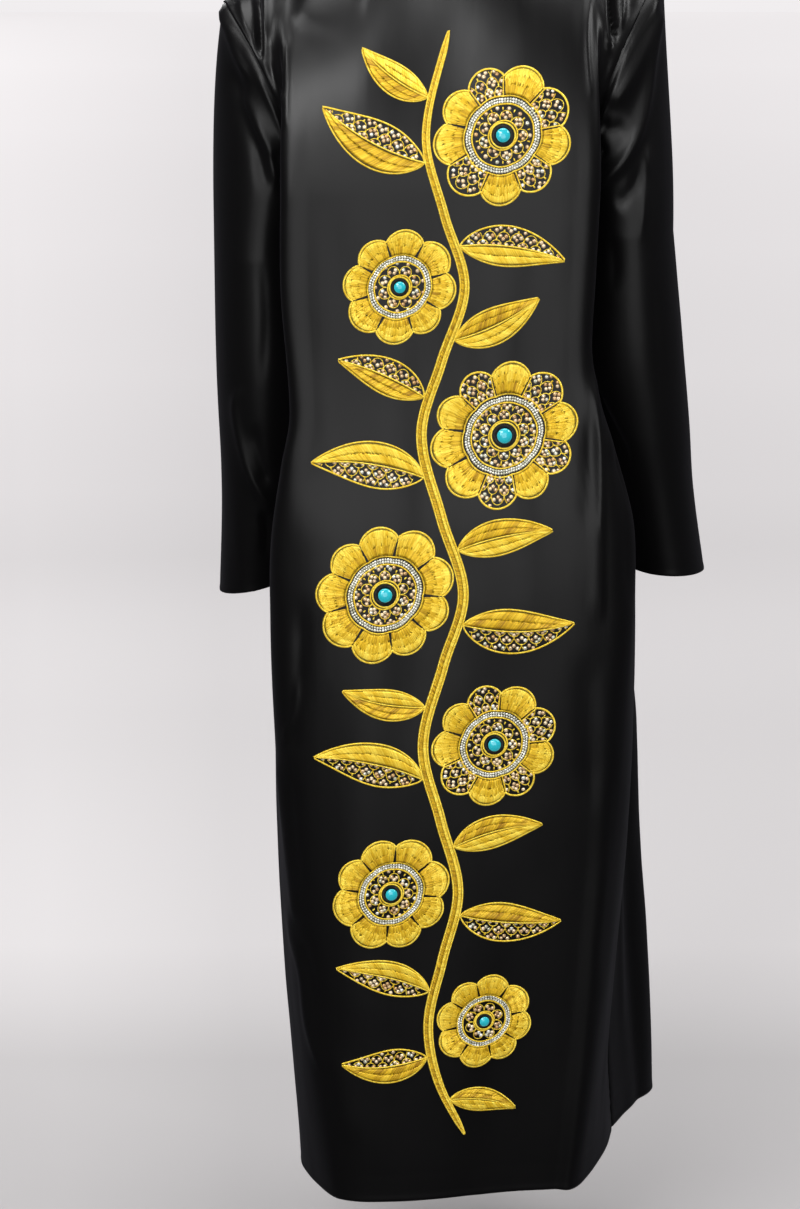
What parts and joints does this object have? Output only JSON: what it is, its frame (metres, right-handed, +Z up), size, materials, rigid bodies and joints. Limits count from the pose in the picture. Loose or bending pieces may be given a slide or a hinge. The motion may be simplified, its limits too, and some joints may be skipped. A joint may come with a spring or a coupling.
{
  "type": "duster coat (worn, held at the shoulders)",
  "caption": "Long hollow satin duster coat with set-in sleeves, hanging open at the front as worn, with a flowering vine embroidered on its back.",
  "frame": {"origin": "the middle of the neck, level with the tops of the shoulder seams, where the wearer's shoulders hold the coat", "axes": "+Z up along the coat's length, -Y towards the coat's front, +X towards the wearer's left"},
  "size_m": [0.511, 0.3629, 1.2861],
  "materials": {
    "satin_body": "black satin, soft sheen",
    "satin_sleeves": "black satin, soft sheen",
    "gold_embroidery": "metallic gold thread with sequins"
  },
  "bodies": {
    "root": {"back": "satin_body", "embroidered_blossom_1": "gold_embroidery", "embroidered_blossom_2": "gold_embroidery", "embroidered_blossom_3": "gold_embroidery", "embroidered_blossom_4": "gold_embroidery", "embroidered_blossom_5": "gold_embroidery", "embroidered_blossom_6": "gold_embroidery", "embroidered_blossom_7": "gold_embroidery", "embroidered_leaf_1": "gold_embroidery", "embroidered_leaf_10": "gold_embroidery", "embroidered_leaf_11": "gold_embroidery", "embroidered_leaf_12": "gold_embroidery", "embroidered_leaf_13": "gold_embroidery", "embroidered_leaf_14": "gold_embroidery", "embroidered_leaf_15": "gold_embroidery", "embroidered_leaf_2": "gold_embroidery", "embroidered_leaf_3": "gold_embroidery", "embroidered_leaf_4": "gold_embroidery", "embroidered_leaf_5": "gold_embroidery", "embroidered_leaf_6": "gold_embroidery", "embroidered_leaf_7": "gold_embroidery", "embroidered_leaf_8": "gold_embroidery", "embroidered_leaf_9": "gold_embroidery", "embroidered_vine": "gold_embroidery", "front_left": "satin_body", "front_right": "satin_body", "sleeve_left": "satin_sleeves", "sleeve_right": "satin_sleeves"}
  },
  "joints": []
}
